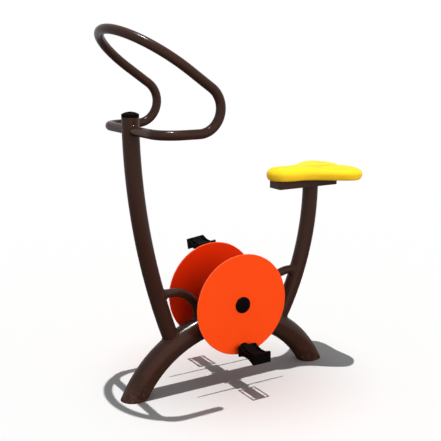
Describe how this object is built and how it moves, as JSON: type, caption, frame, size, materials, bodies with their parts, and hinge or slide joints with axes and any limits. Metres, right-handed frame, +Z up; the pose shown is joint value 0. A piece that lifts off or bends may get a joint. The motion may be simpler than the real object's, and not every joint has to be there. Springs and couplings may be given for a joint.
{
  "type": "outdoor exercise bike",
  "caption": "Bent-tube outdoor exercise bike: arched base, crank discs with bow-tie pedals that turn together, moulded saddle and a looped handlebar.",
  "frame": {"origin": "on the ground, under the middle of the whole bike's bounding box", "axes": "+Z up, -X the way the rider faces, -Y the rider's left"},
  "size_m": [1.0783, 0.5248, 1.389],
  "materials": {
    "brown_paint": "dark brown powder coat, semi-gloss",
    "orange_paint": "bright orange enamel, satin",
    "yellow_plastic": "bright yellow moulding, satin gloss",
    "black_plastic": "black moulding, fine grain",
    "steel": "zinc plated or ground",
    "brass": "turned or pressed"
  },
  "bodies": {
    "frame": {"base_arch": "brown_paint", "front_post": "brown_paint", "front_post_cap": "black_plastic", "seat_post": "brown_paint", "front_brace": "brown_paint", "rear_brace": "brown_paint", "handlebar": "brown_paint", "hub_saddle": "brown_paint", "hub_shell": "brown_paint", "left_bearing_outer_ring": "steel", "right_bearing_outer_ring": "steel", "left_bearing_circlip": "steel", "right_bearing_circlip": "steel", "seat_bracket": "brown_paint", "seat": "yellow_plastic", "left_front_seat_bolt": "steel", "right_front_seat_bolt": "steel", "left_rear_seat_bolt": "steel", "right_rear_seat_bolt": "steel", "left_front_seat_insert": "brass", "right_front_seat_insert": "brass", "left_rear_seat_insert": "brass", "right_rear_seat_insert": "brass"},
    "crank": {"axle": "steel", "bearing_spacer": "steel", "left_bearing_inner_ring": "steel", "right_bearing_inner_ring": "steel", "left_disc_hub": "steel", "right_disc_hub": "steel", "left_axle_key": "steel", "right_axle_key": "steel", "left_disc": "orange_paint", "right_disc": "orange_paint", "left_axle_washer": "steel", "right_axle_washer": "steel", "left_axle_bolt": "steel", "right_axle_bolt": "steel", "left_hub_cap": "black_plastic", "right_hub_cap": "black_plastic", "left_pedal_boss": "black_plastic", "right_pedal_boss": "black_plastic", "left_boss_nut": "orange_paint", "right_boss_nut": "orange_paint", "left_pedal_spindle": "steel", "right_pedal_spindle": "steel", "left_pedal_nut": "steel", "right_pedal_nut": "steel"},
    "left_cage": {"left_ball_cage": "brass"},
    "right_cage": {"right_ball_cage": "brass"},
    "left_pedal": {"left_pedal_body": "black_plastic", "left_pedal_inner_bush": "brass", "left_pedal_outer_bush": "brass", "left_pedal_end_cap": "black_plastic"},
    "right_pedal": {"right_pedal_body": "black_plastic", "right_pedal_inner_bush": "brass", "right_pedal_outer_bush": "brass", "right_pedal_end_cap": "black_plastic"}
  },
  "joints": [
    {"name": "crank_spin", "type": "hinge", "parent": "frame", "child": "crank", "pos_m": [-0.03694, 0, 0.3384], "axis": [0, 1, 0], "continuous": true},
    {"name": "left_cage_spin", "type": "hinge", "parent": "frame", "child": "left_cage", "pos_m": [-0.03694, 0, 0.3384], "axis": [0, 1, 0], "continuous": true},
    {"name": "right_cage_spin", "type": "hinge", "parent": "frame", "child": "right_cage", "pos_m": [-0.03694, 0, 0.3384], "axis": [0, 1, 0], "continuous": true},
    {"name": "left_pedal_spin", "type": "hinge", "parent": "crank", "child": "left_pedal", "pos_m": [-0.03079, 0, 0.16251], "axis": [0, 1, 0], "continuous": true},
    {"name": "right_pedal_spin", "type": "hinge", "parent": "crank", "child": "right_pedal", "pos_m": [-0.04308, 0, 0.51429], "axis": [0, 1, 0], "continuous": true}
  ],
  "couplings": [
    {"joint": "left_cage_spin", "follows": "crank_spin", "ratio": 0.3805},
    {"joint": "right_cage_spin", "follows": "crank_spin", "ratio": 0.3805}
  ]
}
